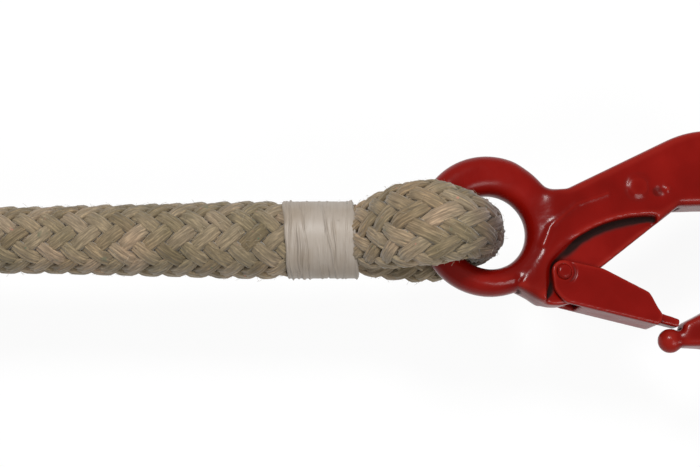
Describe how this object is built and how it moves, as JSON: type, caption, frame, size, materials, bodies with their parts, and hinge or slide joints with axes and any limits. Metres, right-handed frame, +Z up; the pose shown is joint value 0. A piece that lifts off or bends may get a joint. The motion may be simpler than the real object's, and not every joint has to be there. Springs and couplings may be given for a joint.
{
  "type": "spliced rope eye with safety hook",
  "caption": "Hollow-braid rope with a spliced soft eye through the ring of a forged safety hook, a self-closing gate, taped throats and a plain soft eye at the far end.",
  "frame": {"origin": "middle of the box round the whole assembly, at the surface it lies on", "axes": "+X along the rope towards the hook's bow, +Z up from the surface"},
  "size_m": [0.4542, 0.0796, 0.0489],
  "materials": {
    "braid": "coarse plaited natural fibre yarn",
    "tape": "matte cloth tape",
    "red_enamel": "thick glossy enamel",
    "spring_steel": "drawn wire"
  },
  "bodies": {
    "rope": {"rope_standing": "braid", "rope_tail": "braid", "far_rope_tail": "braid", "eye_upper_leg": "braid", "eye_crown": "braid", "eye_lower_leg": "braid", "far_eye_left_leg": "braid", "far_eye_right_leg": "braid", "far_eye_bight": "braid", "seizing_tape": "tape", "far_seizing_tape": "tape"},
    "hook": {"hook_body": "red_enamel", "gate_pin": "red_enamel"},
    "gate": {"gate": "red_enamel", "gate_spring": "spring_steel"}
  },
  "joints": [
    {"name": "hook_swing", "type": "hinge", "parent": "rope", "child": "hook", "pos_m": [0.08805, 0.00058, 0.02455], "axis": [0, -1, 0], "range_deg": [-15, 30]},
    {"name": "gate_hinge", "type": "hinge", "parent": "hook", "child": "gate", "pos_m": [0.13143, -0.01292, 0.0193], "axis": [0.1201, 0, 0.9928], "range_deg": [0, 45], "stiffness_Nm_per_rad": 0.06, "springref_deg": -34.38}
  ]
}
